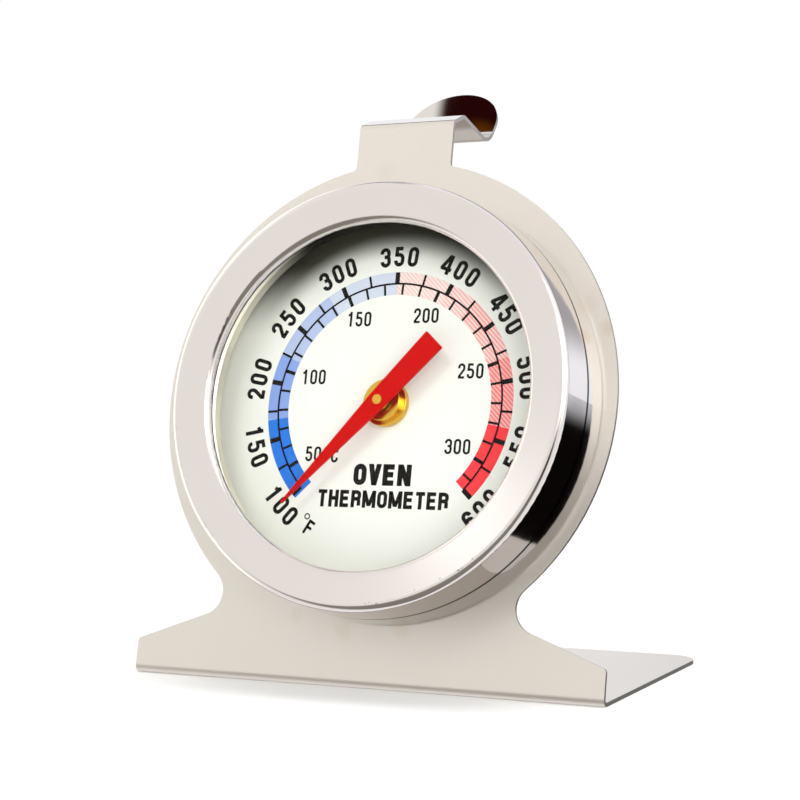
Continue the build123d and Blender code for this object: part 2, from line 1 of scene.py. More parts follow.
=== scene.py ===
"""Looks of the dial oven thermometer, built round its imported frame.

Laid out as a Blender add-on and run as a script: one operator dresses or makes each group of pieces, and
main() calls them in order.  Lengths are metres unless a name ends in _MM or a comment says mm, and the dial's
own frame has its origin on the printed face at the pointer's axis, with u to the right, v up the dial and w
out of it.
"""
import json
import math

import bpy
import numpy as np
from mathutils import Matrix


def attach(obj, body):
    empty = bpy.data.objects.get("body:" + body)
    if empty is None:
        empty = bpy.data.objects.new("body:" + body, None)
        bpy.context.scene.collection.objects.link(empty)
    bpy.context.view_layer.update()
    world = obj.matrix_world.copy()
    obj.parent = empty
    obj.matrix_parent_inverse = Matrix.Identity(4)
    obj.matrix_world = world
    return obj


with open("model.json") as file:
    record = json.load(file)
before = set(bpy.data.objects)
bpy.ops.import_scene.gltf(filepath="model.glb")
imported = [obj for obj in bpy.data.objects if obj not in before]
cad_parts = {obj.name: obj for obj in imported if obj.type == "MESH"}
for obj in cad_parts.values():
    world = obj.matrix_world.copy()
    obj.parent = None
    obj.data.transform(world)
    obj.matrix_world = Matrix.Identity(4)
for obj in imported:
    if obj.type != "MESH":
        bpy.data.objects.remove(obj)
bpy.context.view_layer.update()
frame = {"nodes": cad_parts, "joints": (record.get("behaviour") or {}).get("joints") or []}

bl_info = {
    "name": "Dial oven thermometer",
    "version": (1, 0, 0),
    "blender": (4, 5, 0),
    "location": "View3D > Sidebar > Thermometer",
    "description": "Dresses the frame of a dial oven thermometer: steel, glass, printed dial and stage",
    "category": "Object",
}

MM = 0.001
NODES = frame["nodes"]
HINGE = frame["joints"][0]


# ---------------------------------------------------------------- the dial's own frame
def node_points(name):
    """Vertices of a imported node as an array, one row each."""
    mesh = NODES[name].data
    points = np.empty(3 * len(mesh.vertices))
    mesh.vertices.foreach_get("co", points)
    return points.reshape(-1, 3)


DIAL_OUT = -np.array(HINGE["axis"], dtype=float)
DIAL_RIGHT = np.array([1.0, 0.0, 0.0])
DIAL_UP = np.cross(DIAL_OUT, DIAL_RIGHT)
DIAL_FACE = float((node_points("dial_plate") @ DIAL_OUT).max())
AXIS_POINT = np.array(HINGE["pos_m"], dtype=float)
DIAL_CENTRE = AXIS_POINT + DIAL_OUT * (DIAL_FACE - AXIS_POINT @ DIAL_OUT)


def on_dial(u, v, w):
    """Points of the dial's frame, given in millimetres, in the row's frame and metres."""
    flat = [np.asarray(a, dtype=float).ravel()[:, None] * MM for a in np.broadcast_arrays(u, v, w)]
    return DIAL_CENTRE + flat[0] * DIAL_RIGHT + flat[1] * DIAL_UP + flat[2] * DIAL_OUT


# ---------------------------------------------------------------- settings a user would change
class DialSettings(bpy.types.PropertyGroup):
    """Scale and print of the dial."""

    low: bpy.props.FloatProperty(
        name="Lowest mark", description="First temperature of the outer scale", default=100)
    high: bpy.props.FloatProperty(
        name="Highest mark", description="Last temperature of the outer scale", default=600)
    sweep: bpy.props.FloatProperty(
        name="Sweep", description="Angle between the first and last mark", subtype="ANGLE",
        default=math.radians(267.2))
    tilt: bpy.props.FloatProperty(
        name="Tilt", description="How far the scale is turned on the dial, clockwise", subtype="ANGLE",
        default=math.radians(-0.4))
    arc_radius: bpy.props.FloatProperty(
        name="Arc radius", description="Line between the two scales, mm", default=14.97)
    band_inner: bpy.props.FloatProperty(
        name="Band inside", description="Inner radius of the colour band, mm", default=13.57)
    band_outer: bpy.props.FloatProperty(
        name="Band outside", description="Outer radius of the colour band, mm", default=16.41)
    ink_black: bpy.props.FloatVectorProperty(
        name="Black ink", description="Colour of scale and figures", subtype="COLOR",
        default=(0.008, 0.006, 0.005))
    ink_blue: bpy.props.FloatVectorProperty(
        name="Blue ink", description="Colour of the cool half of the band", subtype="COLOR",
        default=(0.0, 0.16, 0.70))
    ink_red: bpy.props.FloatVectorProperty(
        name="Red ink", description="Colour of the hot half of the band", subtype="COLOR",
        default=(0.93, 0.025, 0.04))
    paper: bpy.props.FloatVectorProperty(
        name="Dial white", description="Ground colour of the dial", subtype="COLOR",
        default=(0.865, 0.86, 0.82))


class FinishSettings(bpy.types.PropertyGroup):
    """Colours and polish of the metal, glass and paint."""

    plate_tint: bpy.props.FloatVectorProperty(
        name="Stand steel", description="Colour of the satin sheet", subtype="COLOR",
        default=(0.79, 0.735, 0.665))
    bezel_tint: bpy.props.FloatVectorProperty(
        name="Bezel steel", description="Colour of the bezel", subtype="COLOR",
        default=(0.83, 0.77, 0.735))
    case_tint: bpy.props.FloatVectorProperty(
        name="Case steel", description="Colour of the drawn case", subtype="COLOR",
        default=(0.80, 0.78, 0.76))
    plate_roughness: bpy.props.FloatProperty(
        name="Stand roughness", description="0 is a mirror", min=0, max=1, subtype="FACTOR", default=0.38)
    bezel_roughness: bpy.props.FloatProperty(
        name="Bezel roughness", description="0 is a mirror", min=0, max=1, subtype="FACTOR", default=0.19)
    case_roughness: bpy.props.FloatProperty(
        name="Case roughness", description="0 is a mirror", min=0, max=1, subtype="FACTOR", default=0.10)
    pointer_red: bpy.props.FloatVectorProperty(
        name="Pointer red", description="Colour of the pointer's paint", subtype="COLOR",
        default=(0.52, 0.001, 0.0005))
    brass: bpy.props.FloatVectorProperty(
        name="Brass", description="Colour of the turned brass", subtype="COLOR", default=(0.74, 0.45, 0.06))


class StageSettings(bpy.types.PropertyGroup):
    """Floor, light and camera."""

    floor_tint: bpy.props.FloatVectorProperty(
        name="Floor", description="Colour of the floor", subtype="COLOR",
        default=(0.97, 0.97, 0.97))
    eye: bpy.props.FloatVectorProperty(
        name="Camera place", description="Where the camera stands", subtype="TRANSLATION", unit="LENGTH",
        default=(0.10406, -0.21978, 0.03971))
    turn: bpy.props.FloatVectorProperty(
        name="Camera turn", description="Pitch, roll and heading of the camera", subtype="EULER",
        unit="ROTATION",
        default=(math.radians(88.757), math.radians(0.292), math.radians(25.523)))
    lens: bpy.props.FloatProperty(
        name="Lens", description="Focal length on a 36 mm frame, mm", default=86.48)


# ---------------------------------------------------------------- mesh helpers
def add_piece(name, points, faces):
    """New object of this name from points in the row's frame and faces as rows of indices."""
    mesh = bpy.data.meshes.new(name)
    mesh.from_pydata(np.asarray(points).tolist(), [], [list(face) for face in faces])
    mesh.validate()
    piece = bpy.data.objects.new(name, mesh)
    bpy.context.scene.collection.objects.link(piece)
    return piece


def grid_faces(rows, columns, wrap_rows=False, wrap_columns=False):
    """Quads of a grid whose point (row, column) has index row * columns + column."""
    row_starts, column_starts = np.arange(rows - (not wrap_rows)), np.arange(columns - (not wrap_columns))
    r, c = np.meshgrid(row_starts, column_starts, indexing="ij")
    r2, c2 = (r + 1) % rows, (c + 1) % columns
    quads = np.stack([r * columns + c, r * columns + c2, r2 * columns + c2, r2 * columns + c], axis=-1)
    return quads.reshape(-1, 4)


# ---------------------------------------------------------------- ink: flat strokes with a little thickness
INK_FOOT = 0.0              # mm above the dial
INK_STEPS = 7               # points on each rounded corner


def rounded_path(corners, closed=False):
    """Line through corners (x, y, radius): each rounded corner is an arc that starts and ends
    radius * tan(half the turn) from its corner, and is centred on the inner side of the bend."""
    corners = np.asarray(corners, dtype=float)
    stretches = []
    for index, (x, y, radius) in enumerate(corners):
        inner = closed or 0 < index < len(corners) - 1
        if radius <= 0 or not inner:
            stretches.append(np.array([[x, y]]))
            continue
        here = np.array([x, y])
        into = here - corners[index - 1, :2]
        out = corners[(index + 1) % len(corners), :2] - here
        into, out = into / np.hypot(*into), out / np.hypot(*out)
        turn = math.atan2(into[0] * out[1] - into[1] * out[0], into @ out)
        start = here - into * radius * math.tan(abs(turn) / 2)
        side = math.copysign(1, turn)
        normal = side * np.array([-into[1], into[0]])
        centre = start + radius * normal
        angles = np.linspace(0, turn, INK_STEPS)[:, None]
        spoke = -normal
        swung = np.hstack([spoke[0] * np.cos(angles) - spoke[1] * np.sin(angles),
                           spoke[0] * np.sin(angles) + spoke[1] * np.cos(angles)])
        stretches.append(centre + radius * swung)
    return np.vstack(stretches)


def circle(radius, count, start=0.0, stop=None):
    """Points of a circle, or with stop of an arc with both ends: radius * (sin, cos) of the angle
    clockwise from the top."""
    whole = stop is None
    angles = np.linspace(start, start + 2 * math.pi if whole else stop, count, endpoint=not whole)
    return radius * np.stack([np.sin(angles), np.cos(angles)], axis=1)


def stroke_sides(path, width, closed=False):
    """Left and right edges of a line of this width: each point moves along its mitre, the sum of the normals
    of the two stretches that meet there, over one plus the cosine of the turn between them."""
    step = np.roll(path, -1, axis=0) - path
    step /= np.maximum(np.hypot(step[:, 0], step[:, 1])[:, None], 1e-9)
    into, out = np.roll(step, 1, axis=0), step.copy()
    if not closed:
        into[0], out[-1] = step[0], step[-2]
    mitre = np.stack([-(into + out)[:, 1], (into + out)[:, 0]], axis=1)
    mitre /= (1 + (into * out).sum(axis=1))[:, None]
    return np.stack([path + mitre * width / 2, path - mitre * width / 2], axis=1)


def bar_sides(start, end, width):
    """Straight stroke whose two ends are cut level: its width is measured square to its length."""
    start, end = np.asarray(start, dtype=float), np.asarray(end, dtype=float)
    run = end - start
    reach = np.array([width / 2 * np.hypot(*run) / abs(run[1]), 0])
    side = -math.copysign(1, run[1])
    return np.array([[start + side * reach, start - side * reach], [end + side * reach, end - side * reach]])


class Ink:
    """Collects strokes, each a closed slab of left and right edges, into one piece."""

    def __init__(self, low, high):
        self.low, self.high = low, high
        self.points, self.faces, self.values, self.count = [], [], [], 0

    def add(self, sides, closed=False, value=0.0):
        """The slab's section runs left-low, right-low, right-high, left-high along the stroke."""
        rows = len(sides)
        left, right = sides[:, 0], sides[:, 1]
        section = np.empty((rows, 4, 3))
        section[:, :, :2] = np.stack([left, right, right, left], axis=1)
        section[:, :2, 2] = self.low
        section[:, 2:, 2] = self.high
        faces = [tuple(face) for face in (self.count + grid_faces(rows, 4, closed, True))]
        if not closed:
            last = self.count + 4 * (rows - 1)
            faces += [tuple(self.count + corner for corner in (3, 2, 1, 0)),
                      tuple(last + corner for corner in (0, 1, 2, 3))]
        self.points.append(section.reshape(-1, 3))
        self.faces += faces
        self.values.append(np.full(4 * rows, value))
        self.count += 4 * rows

    def piece(self, name, attribute=None):
        points = np.vstack(self.points)
        made = add_piece(name, on_dial(points[:, 0], points[:, 1], points[:, 2]), self.faces)
        if attribute:
            layer = made.data.attributes.new(attribute, "FLOAT", "POINT")
            layer.data.foreach_set("value", np.concatenate(self.values))
        return made


# Each glyph lists strokes in a box whose sides are 1: a bend is a rounded line (x, y, radius as a share of
# the width), a loop is a closed one, a bar is a straight stroke cut level at both ends, and a ring is a
# circle at the top of the box, its radius as a share of the width.
BOWL = 0.5
DEGREE = "\N{DEGREE SIGN}"
GLYPHS = {
    "0": [("loop", (0, 0, BOWL), (1, 0, BOWL), (1, 1, BOWL), (0, 1, BOWL))],
    "1": [("bar", (0.62, 0), (0.62, 1)), ("bend", (0.02, 0.80, 0), (0.40, 0.86, 0.3), (0.62, 1.0, 0))],
    "2": [("bend", (0, 0.70, 0), (0, 1, BOWL), (1, 1, BOWL), (1, 0.62, 0.4), (0, 0.03, 0)),
          ("bend", (-0.12, 0, 0), (1.1, 0, 0))],
    "3": [("bend", (0, 0.74, 0), (0, 1, BOWL), (1, 1, BOWL), (1, 0.53, 0.35), (0.35, 0.53, 0)),
          ("bend", (0.35, 0.53, 0), (1, 0.53, 0.35), (1, 0, BOWL), (0, 0, BOWL), (0, 0.26, 0))],
    "4": [("bar", (0.80, 0), (0.80, 1)), ("bar", (0.68, 1), (-0.02, 0.27)),
          ("bend", (-0.15, 0.22, 0), (1.22, 0.22, 0))],
    "5": [("bend", (1.0, 1, 0), (0.12, 1, 0), (0.06, 0.5, 0)),
          ("bend", (0.06, 0.61, 0), (1, 0.61, BOWL), (1, 0, BOWL), (0, 0, BOWL), (0, 0.26, 0))],
    "6": [("loop", (0, 0, BOWL), (1, 0, BOWL), (1, 0.6, BOWL), (0, 0.6, BOWL)),
          ("bend", (0, 0.3, 0), (0, 1, BOWL), (1, 1, BOWL), (1, 0.76, 0))],
    "C": [("bend", (1, 0.70, 0), (1, 1, BOWL), (0, 1, BOWL), (0, 0, BOWL), (1, 0, BOWL), (1, 0.30, 0))],
    "E": [("bar", (0, 0), (0, 1)), ("bend", (0, 1, 0), (1.1, 1, 0)), ("bend", (0, 0.52, 0), (1.0, 0.52, 0)),
          ("bend", (0, 0, 0), (1.1, 0, 0))],
    "F": [("bar", (0, 0), (0, 1)), ("bend", (0, 1, 0), (1.1, 1, 0)), ("bend", (0, 0.5, 0), (1.0, 0.5, 0))],
    "H": [("bar", (0, 0), (0, 1)), ("bar", (1, 0), (1, 1)), ("bend", (0, 0.52, 0), (1, 0.52, 0))],
    "M": [("bar", (0, 0), (0, 1)), ("bar", (1, 0), (1, 1)), ("bar", (0, 1), (0.5, 0.1)),
          ("bar", (0.5, 0.1), (1, 1))],
    "N": [("bar", (0, 0), (0, 1)), ("bar", (1, 0), (1, 1)), ("bar", (0.02, 1), (0.98, 0))],
    "O": [("loop", (0, 0, BOWL), (1, 0, BOWL), (1, 1, BOWL), (0, 1, BOWL))],
    "R": [("bar", (0, 0), (0, 1)), ("bend", (0, 1, 0), (1, 1, 0.4), (1, 0.5, 0.4), (0, 0.5, 0)),
          ("bend", (0.4, 0.5, 0), (0.95, 0.5, 0.35), (0.95, 0, 0))],
    "T": [("bend", (-0.18, 1, 0), (1.18, 1, 0)), ("bar", (0.5, 0), (0.5, 1))],
    "V": [("bar", (0.0, 1), (0.5, 0)), ("bar", (1.0, 1), (0.5, 0))],
    DEGREE: [("ring", 0.4)],
}
WIDE = {"4": 1.12, "M": 1.35, "N": 1.05, DEGREE: 0.8}      # width as a share of the other glyphs'


def glyph_strokes(letter, width, height, weight):
    """Edges of a letter's strokes in millimetres, its box standing on y = 0 and centred on x = 0."""
    width = width * WIDE.get(letter, 1.0)
    core = np.array([width - weight, height - weight])
    corner = np.array([(weight - width) / 2, weight / 2])
    for kind, *marks in GLYPHS.get(letter, []):
        if kind == "bar":
            ends = [(corner[0] + x * core[0], y * height) for x, y in marks]
            yield bar_sides(*ends, weight), False
            continue
        if kind == "ring":
            radius = marks[0] * width
            centred = circle(radius, CURVE_POINTS) + np.array([0, height - radius])
            yield stroke_sides(centred, weight, True), True
            continue
        scaled = [(corner[0] + x * core[0], corner[1] + y * core[1], r * core[0]) for x, y, r in marks]
        closed = kind == "loop"
        yield stroke_sides(rounded_path(scaled, closed), weight, closed), closed


def turned(sides, angle):
    """Stroke edges turned clockwise by an angle in radians about the origin."""
    cosine, sine = math.cos(angle), math.sin(angle)
    x, y = sides[..., 0], sides[..., 1]
    return np.stack([x * cosine + y * sine, -x * sine + y * cosine], axis=-1)


def word_level(ink, text, centre, width, height, weight, gap):
    """Text on a straight level line, centred on a point of the dial."""
    widths = [width * WIDE.get(letter, 1.0) for letter in text]
    x = -(sum(widths) + gap * (len(text) - 1)) / 2
    for letter, wide in zip(text, widths):
        for sides, closed in glyph_strokes(letter, width, height, weight):
            ink.add(sides + np.array([centre[0] + x + wide / 2, centre[1] - height / 2]), closed)
        x += wide + gap


def word_round(ink, text, angle, radius, width, height, weight, gap, outward=True):
    """Text along a circle of this radius through its middle height, centred on an angle clockwise from the
    top; outward text has its tops away from the centre and reads clockwise, other text the reverse."""
    widths = [width * WIDE.get(letter, 1.0) for letter in text]
    reached = -(sum(widths) + gap * (len(text) - 1)) / 2
    way = 1 if outward else -1
    for letter, wide in zip(text, widths):
        middle = angle + way * (reached + wide / 2) / radius
        for sides, closed in glyph_strokes(letter, width, height, weight):
            placed = sides + np.array([0, way * radius - height / 2])
            ink.add(turned(placed, middle if outward else middle - math.pi), closed)
        reached += wide + gap


# ---------------------------------------------------------------- materials
def new_material(name):
    """New material with a Principled shader on its output; returns material, node tree and shader."""
    material = bpy.data.materials.new(name)
    material.use_nodes = True
    tree = material.node_tree
    tree.nodes.clear()
    output = tree.nodes.new("ShaderNodeOutputMaterial")
    shader = tree.nodes.new("ShaderNodeBsdfPrincipled")
    tree.links.new(shader.outputs["BSDF"], output.inputs["Surface"])
    return material, tree, shader


def node(tree, kind, inputs=None, **settings):
    """New shader node: settings are its properties, inputs its sockets' values or links by name or number."""
    made = tree.nodes.new(kind)
    for key, value in settings.items():
        setattr(made, key, value)
    for key, value in (inputs or {}).items():
        if isinstance(value, bpy.types.NodeSocket):
            tree.links.new(value, made.inputs[key])
        else:
            made.inputs[key].default_value = value
    return made


def place(tree):
    """The point's place in the row's frame, in metres."""
    return node(tree, "ShaderNodeTexCoord").outputs["Object"]


def along(tree, vector):
    """Distance of the point from the dial's centre along a direction, in metres."""
    from_centre = node(tree, "ShaderNodeVectorMath", {0: place(tree), 1: tuple(DIAL_CENTRE)},
                       operation="SUBTRACT")
    return node(tree, "ShaderNodeVectorMath", {0: from_centre.outputs[0], 1: tuple(vector)},
                operation="DOT_PRODUCT").outputs["Value"]


def math_node(tree, operation, *values):
    return node(tree, "ShaderNodeMath", dict(enumerate(values)), operation=operation).outputs[0]


def noise(tree, scale, detail=2.0, roughness=0.5, vector=None, squeeze=None):
    """Noise between 0 and 1 on the row's frame; squeeze stretches it along the axes it shrinks."""
    coordinates = vector or place(tree)
    if squeeze:
        stretched = node(tree, "ShaderNodeVectorMath", {0: coordinates, 1: squeeze}, operation="MULTIPLY")
        coordinates = stretched.outputs[0]
    return node(tree, "ShaderNodeTexNoise", {"Vector": coordinates, "Scale": scale, "Detail": detail,
                                             "Roughness": roughness}).outputs["Fac"]


def metres(lengths):
    """Millimetre lengths in metres."""
    return [length * MM for length in lengths]


def spread(tree, value, low, high):
    """Value from 0..1 brought to low..high."""
    return node(tree, "ShaderNodeMapRange", {"Value": value, "To Min": low, "To Max": high}).outputs["Result"]


def mix_colour(tree, share, first, second, blend="MIX"):
    """First colour blended with the second by a share; a Mix node's colour sockets are 6, 7 and 2."""
    made = node(tree, "ShaderNodeMix", data_type="RGBA", blend_type=blend)
    for key, value in ((0, share), (6, first), (7, second)):
        if isinstance(value, bpy.types.NodeSocket):
            tree.links.new(value, made.inputs[key])
        elif key == 0:
            made.inputs[key].default_value = value
        else:
            made.inputs[key].default_value = (*value, 1)
    return made.outputs[2]


def bump(tree, height, strength, distance):
    made = node(tree, "ShaderNodeBump", {"Height": height, "Strength": strength, "Distance": distance})
    return made.outputs["Normal"]


def smooth(tree, value, low, high):
    """0 below low, 1 above high and an S-curve between them; with high under low it falls instead."""
    return node(tree, "ShaderNodeMapRange", {"Value": value, "From Min": low, "From Max": high},
                interpolation_type="SMOOTHSTEP").outputs["Result"]


def window(tree, value, low, high, soft):
    """1 between low and high, falling to 0 over a soft edge on each side."""
    return math_node(tree, "MULTIPLY", smooth(tree, value, low - soft, low),
                     smooth(tree, value, high + soft, high))


def product(tree, *values):
    """All the values multiplied together."""
    total = values[0]
    for value in values[1:]:
        total = math_node(tree, "MULTIPLY", total, value)
    return total


def root_of_squares(tree, first, second):
    """Length of a step from its two parts at right angles."""
    squares = math_node(tree, "ADD", math_node(tree, "MULTIPLY", first, first),
                        math_node(tree, "MULTIPLY", second, second))
    return math_node(tree, "SQRT", squares)


def radius_from_axis(tree):
    """Distance of the point from the pointer's axis."""
    return root_of_squares(tree, along(tree, DIAL_RIGHT), along(tree, DIAL_UP))


def spot(tree, u, v, reach):
    """1 near a point (u, v) of the dial's frame, 0 about its reach away, with a ragged edge; all in mm."""
    across = math_node(tree, "SUBTRACT", along(tree, DIAL_RIGHT), u * MM)
    up = math_node(tree, "SUBTRACT", along(tree, DIAL_UP), v * MM)
    ragged = spread(tree, noise(tree, STAIN_EDGE, 4, 0.6), *STAIN_RAGGED)
    away = product(tree, root_of_squares(tree, across, up), ragged)
    return smooth(tree, away, reach * MM, SPOT_CORE * reach * MM)


def dress(name, material):
    """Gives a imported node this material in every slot."""
    mesh = NODES[name].data
    mesh.materials.clear()
    mesh.materials.append(material)


def metal(tree, shader, shade, rough, height, strength, distance):
    """Links a metal's colour, roughness and fine relief to its shader."""
    tree.links.new(shade, shader.inputs["Base Color"])
    tree.links.new(rough, shader.inputs["Roughness"])
    tree.links.new(bump(tree, height, strength, distance), shader.inputs["Normal"])
    shader.inputs["Metallic"].default_value = 1


def clouded(tree, clouds, tint, drift):
    """Tint that the clouds make darker and lighter by a share."""
    return mix_colour(tree, clouds, [c * (1 - drift) for c in tint], [min(c * (1 + drift), 1) for c in tint])


def sheet_steel(name, tint, roughness):
    """Plain plated or strip steel of the rivets and the pieces inside: fine even grain and faint tarnish."""
    material, tree, shader = new_material(name)
    lines = noise(tree, SHEET_GRAIN, 3, 0.6)
    clouds = noise(tree, SHEET_CLOUD, 4, 0.55)
    rough = math_node(tree, "ADD", spread(tree, lines, roughness - UNEVEN, roughness + UNEVEN),
                      spread(tree, clouds, -UNEVEN, UNEVEN))
    metal(tree, shader, clouded(tree, clouds, tint, 0.03), rough, lines, SHEET_RELIEF, FINE_DEPTH)
    return material


def stand_steel(finish):
    """The stand's sheet: rolled grain, darker sheared edges, faint brown heat stains on its front, and a
    hook that the bending tool has burnished.  A sheared edge is where the surface faces to the side."""
    tint, roughness = finish.plate_tint, finish.plate_roughness
    material, tree, shader = new_material("satin_sheet")
    lines = noise(tree, SHEET_GRAIN, 3, 0.6, squeeze=ROLLED)
    clouds = noise(tree, SHEET_CLOUD, 4, 0.55)
    shade = clouded(tree, clouds, tint, 0.025)
    facing = node(tree, "ShaderNodeSeparateXYZ", {0: node(tree, "ShaderNodeNewGeometry").outputs["Normal"]})
    front = smooth(tree, facing.outputs["Y"], *FACES_FRONT)
    for u, v, reach, depth in STAINS:
        stain = product(tree, spot(tree, u, v, reach), front, depth)
        shade = mix_colour(tree, stain, shade, STAIN_BROWN, "MULTIPLY")
    sideways = math_node(tree, "ABSOLUTE", facing.outputs["X"])
    sheared = smooth(tree, sideways, *FACES_SIDE)
    shade = mix_colour(tree, sheared, shade, [c * SHEARED_SHARE for c in tint])
    height = node(tree, "ShaderNodeSeparateXYZ", {0: place(tree)}).outputs["Z"]
    burnished = smooth(tree, height, *metres(HOOK_POLISH_MM))
    rough = math_node(tree, "ADD", spread(tree, lines, roughness - UNEVEN, roughness + UNEVEN),
                      product(tree, burnished, HOOK_ROUGHNESS - roughness))
    metal(tree, shader, shade, rough, lines, spread(tree, burnished, SHEET_RELIEF, 0.0), FINE_DEPTH)
    tree.links.new(spread(tree, burnished, SATIN_METALLIC, 1), shader.inputs["Metallic"])
    return material


def spun_steel(name, tint, roughness, grain, specks=0.0):
    """Steel finished on a lathe: very fine rings round the dial's axis over a faint cloud, a nearly black
    band where bezel and case meet, a polished skirt, and with specks a few pits in an arc low on the right,
    near the rim."""
    material, tree, shader = new_material(name)
    radius = radius_from_axis(tree)
    rings = node(tree, "ShaderNodeCombineXYZ", {"X": radius, "Y": along(tree, DIAL_OUT)}).outputs[0]
    lines = noise(tree, LATHE_GRAIN, 2, 0.5, vector=rings)
    shade = clouded(tree, noise(tree, LATHE_CLOUD, 3, 0.5), tint, 0.015)
    if specks:
        zone = product(tree, window(tree, radius, *metres(PIT_RING_MM)),
                       window(tree, along(tree, DIAL_RIGHT), *metres(PIT_RIGHT_MM)),
                       smooth(tree, along(tree, DIAL_UP), *metres(PIT_LOW_MM)))
        pits = product(tree, smooth(tree, noise(tree, PIT_GRAIN, 1, 0.3), *PIT_SHARE), zone, specks)
        shade = mix_colour(tree, pits, shade, PIT_TONE)
    # a nearly black band where the bezel meets the case
    seam = window(tree, along(tree, DIAL_OUT), *metres(SEAM_BAND_MM))
    shade = mix_colour(tree, product(tree, seam, SEAM_BAND_DEPTH), shade, SEAM_BAND_TONE)
    skirt = smooth(tree, radius, *metres(SKIRT_MM))
    rough = math_node(tree, "ADD", spread(tree, lines, roughness - grain, roughness + grain),
                      product(tree, skirt, SKIRT_ROUGHNESS - roughness))
    metal(tree, shader, shade, rough, lines, SPUN_RELIEF, SPUN_DEPTH)
    return material


def turned_metal(name, tint, roughness):
    """Turned bar stock: tool rings round the axis, slightly uneven in gloss."""
    material, tree, shader = new_material(name)
    rings = node(tree, "ShaderNodeCombineXYZ", {"X": radius_from_axis(tree)}).outputs[0]
    lines = noise(tree, TURNED_GRAIN, 2, 0.6, vector=rings)
    shade = mix_colour(tree, noise(tree, TURNED_CLOUD, 3), [c * 0.92 for c in tint],
                       [min(c * 1.05, 1) for c in tint])
    rough = spread(tree, lines, roughness * 0.7, roughness * 1.3)
    metal(tree, shader, shade, rough, lines, TURNED_RELIEF, FINE_DEPTH)
    return material


def ring_aluminium(tint):
    """Rolled aluminium with painted shade that darkens it to near black under the top of the bezel, where its
    inner wall lies in shadow: by the cosine of the angle at the dial's centre between the point and the
    direction the painted shade leans in."""
    material, tree, shader = new_material("aluminium_painted_shade")
    right, up = RING_SHADE_LEAN
    leaning = math_node(tree, "ADD", product(tree, along(tree, DIAL_UP), up),
                        product(tree, along(tree, DIAL_RIGHT), right))
    # painted shade: the ring turns near black towards the top, where the bezel shades it
    painted_shade = smooth(tree, math_node(tree, "DIVIDE", leaning, radius_from_axis(tree)), *RING_SHADE_COSINES)
    lines = noise(tree, RING_GRAIN, 3, 0.6)
    metal(tree, shader, mix_colour(tree, painted_shade, tint, RING_SHADE_TONE), spread(tree, lines, *RING_ROUGHNESS), lines,
          RING_RELIEF, FINE_DEPTH)
    return material


def coated(name, tint, roughness, fleck=0.04, shine=0.5):
    """Paint, print or rubber: its colour drifts a little and its surface has a fine orange peel."""
    material, tree, shader = new_material(name)
    finish_coat(tree, shader, clouded(tree, noise(tree, COAT_CLOUD, 3), tint, fleck), roughness, shine)
    return material


def finish_coat(tree, shader, shade, roughness, shine):
    """Links a coat's colour, uneven gloss and orange peel to its shader."""
    tree.links.new(shade, shader.inputs["Base Color"])
    fine = noise(tree, PEEL_GRAIN, 2)
    tree.links.new(spread(tree, fine, roughness * 0.9, min(roughness * 1.1, 1)), shader.inputs["Roughness"])
    tree.links.new(bump(tree, fine, PEEL_RELIEF, FINE_DEPTH), shader.inputs["Normal"])
    shader.inputs["Specular IOR Level"].default_value = shine


def dial_white(tint):
    """Matt white lacquer with painted shade: a little greyer towards the rim, and much darker near the rim at
    the top, where the bezel shades the dial.
    """
    material, tree, shader = new_material("dial_white")
    radius, high = radius_from_axis(tree), along(tree, DIAL_UP)
    clean = mix_colour(tree, noise(tree, COAT_CLOUD, 3), [c * 0.99 for c in tint], tint)
    # painted shade: the dial greys towards the rim, under the bezel
    rim = mix_colour(tree, smooth(tree, radius, *metres(RIM_SHADE_MM)), clean, RIM_SHADE_TONE, "MULTIPLY")
    # painted shadow of the bezel's top on the upper rim of the dial
    painted_shade = product(tree, smooth(tree, radius, *metres(DIAL_SHADE_MM)), smooth(tree, high, *metres(DIAL_SHADE_UP_MM)))
    finish_coat(tree, shader, mix_colour(tree, painted_shade, rim, DIAL_SHADE_TONE, "MULTIPLY"), 0.55, 0.2)
    return material


def clear_glass(name, tint):
    """Window glass: bends the view, and lets lamps straight through so that the dial is lit."""
    material, tree, shader = new_material(name)
    shader.inputs["Base Color"].default_value = (*tint, 1)
    shader.inputs["Transmission Weight"].default_value = 1
    shader.inputs["Roughness"].default_value = 0.0
    shader.inputs["IOR"].default_value = GLASS_IOR
    through = node(tree, "ShaderNodeBsdfTransparent", {"Color": (*tint, 1)})
    path = node(tree, "ShaderNodeLightPath")
    lamps = math_node(tree, "MAXIMUM", path.outputs["Is Shadow Ray"], path.outputs["Is Diffuse Ray"])
    choose = node(tree, "ShaderNodeMixShader", {0: lamps, 1: shader.outputs[0], 2: through.outputs[0]})
    output = next(n for n in tree.nodes if n.type == "OUTPUT_MATERIAL")
    tree.links.new(choose.outputs[0], output.inputs["Surface"])
    return material


def printed_ink(name, ink, paper, screened):
    """Ink as strong as the coverage attribute says: a flat tint, or partly gathered into slanted lines.
    A line shows where the coverage exceeds the distance to its middle as a share of half the pitch."""
    material, tree, shader = new_material(name)
    cover = node(tree, "ShaderNodeAttribute", attribute_name="coverage").outputs["Fac"]
    share = cover
    if screened:
        across = math_node(tree, "ADD", along(tree, DIAL_RIGHT), along(tree, DIAL_UP))
        half = SCREEN_PITCH / 2
        wave = math_node(tree, "DIVIDE", math_node(tree, "PINGPONG", across, half), half)
        line = smooth(tree, math_node(tree, "SUBTRACT", cover, wave), -SCREEN_BLUR, SCREEN_BLUR)
        blurred = math_node(tree, "ADD", product(tree, cover, 1 - SCREEN_CONTRAST),
                            product(tree, line, SCREEN_CONTRAST))
        share = math_node(tree, "MAXIMUM", blurred, math_node(tree, "GREATER_THAN", cover, SOLID_FROM))
    patchy = product(tree, share, spread(tree, noise(tree, INK_PATCH, 3), INK_THINNEST, 1.0))
    finish_coat(tree, shader, mix_colour(tree, patchy, paper, ink), 0.5, 0.08)
    return material


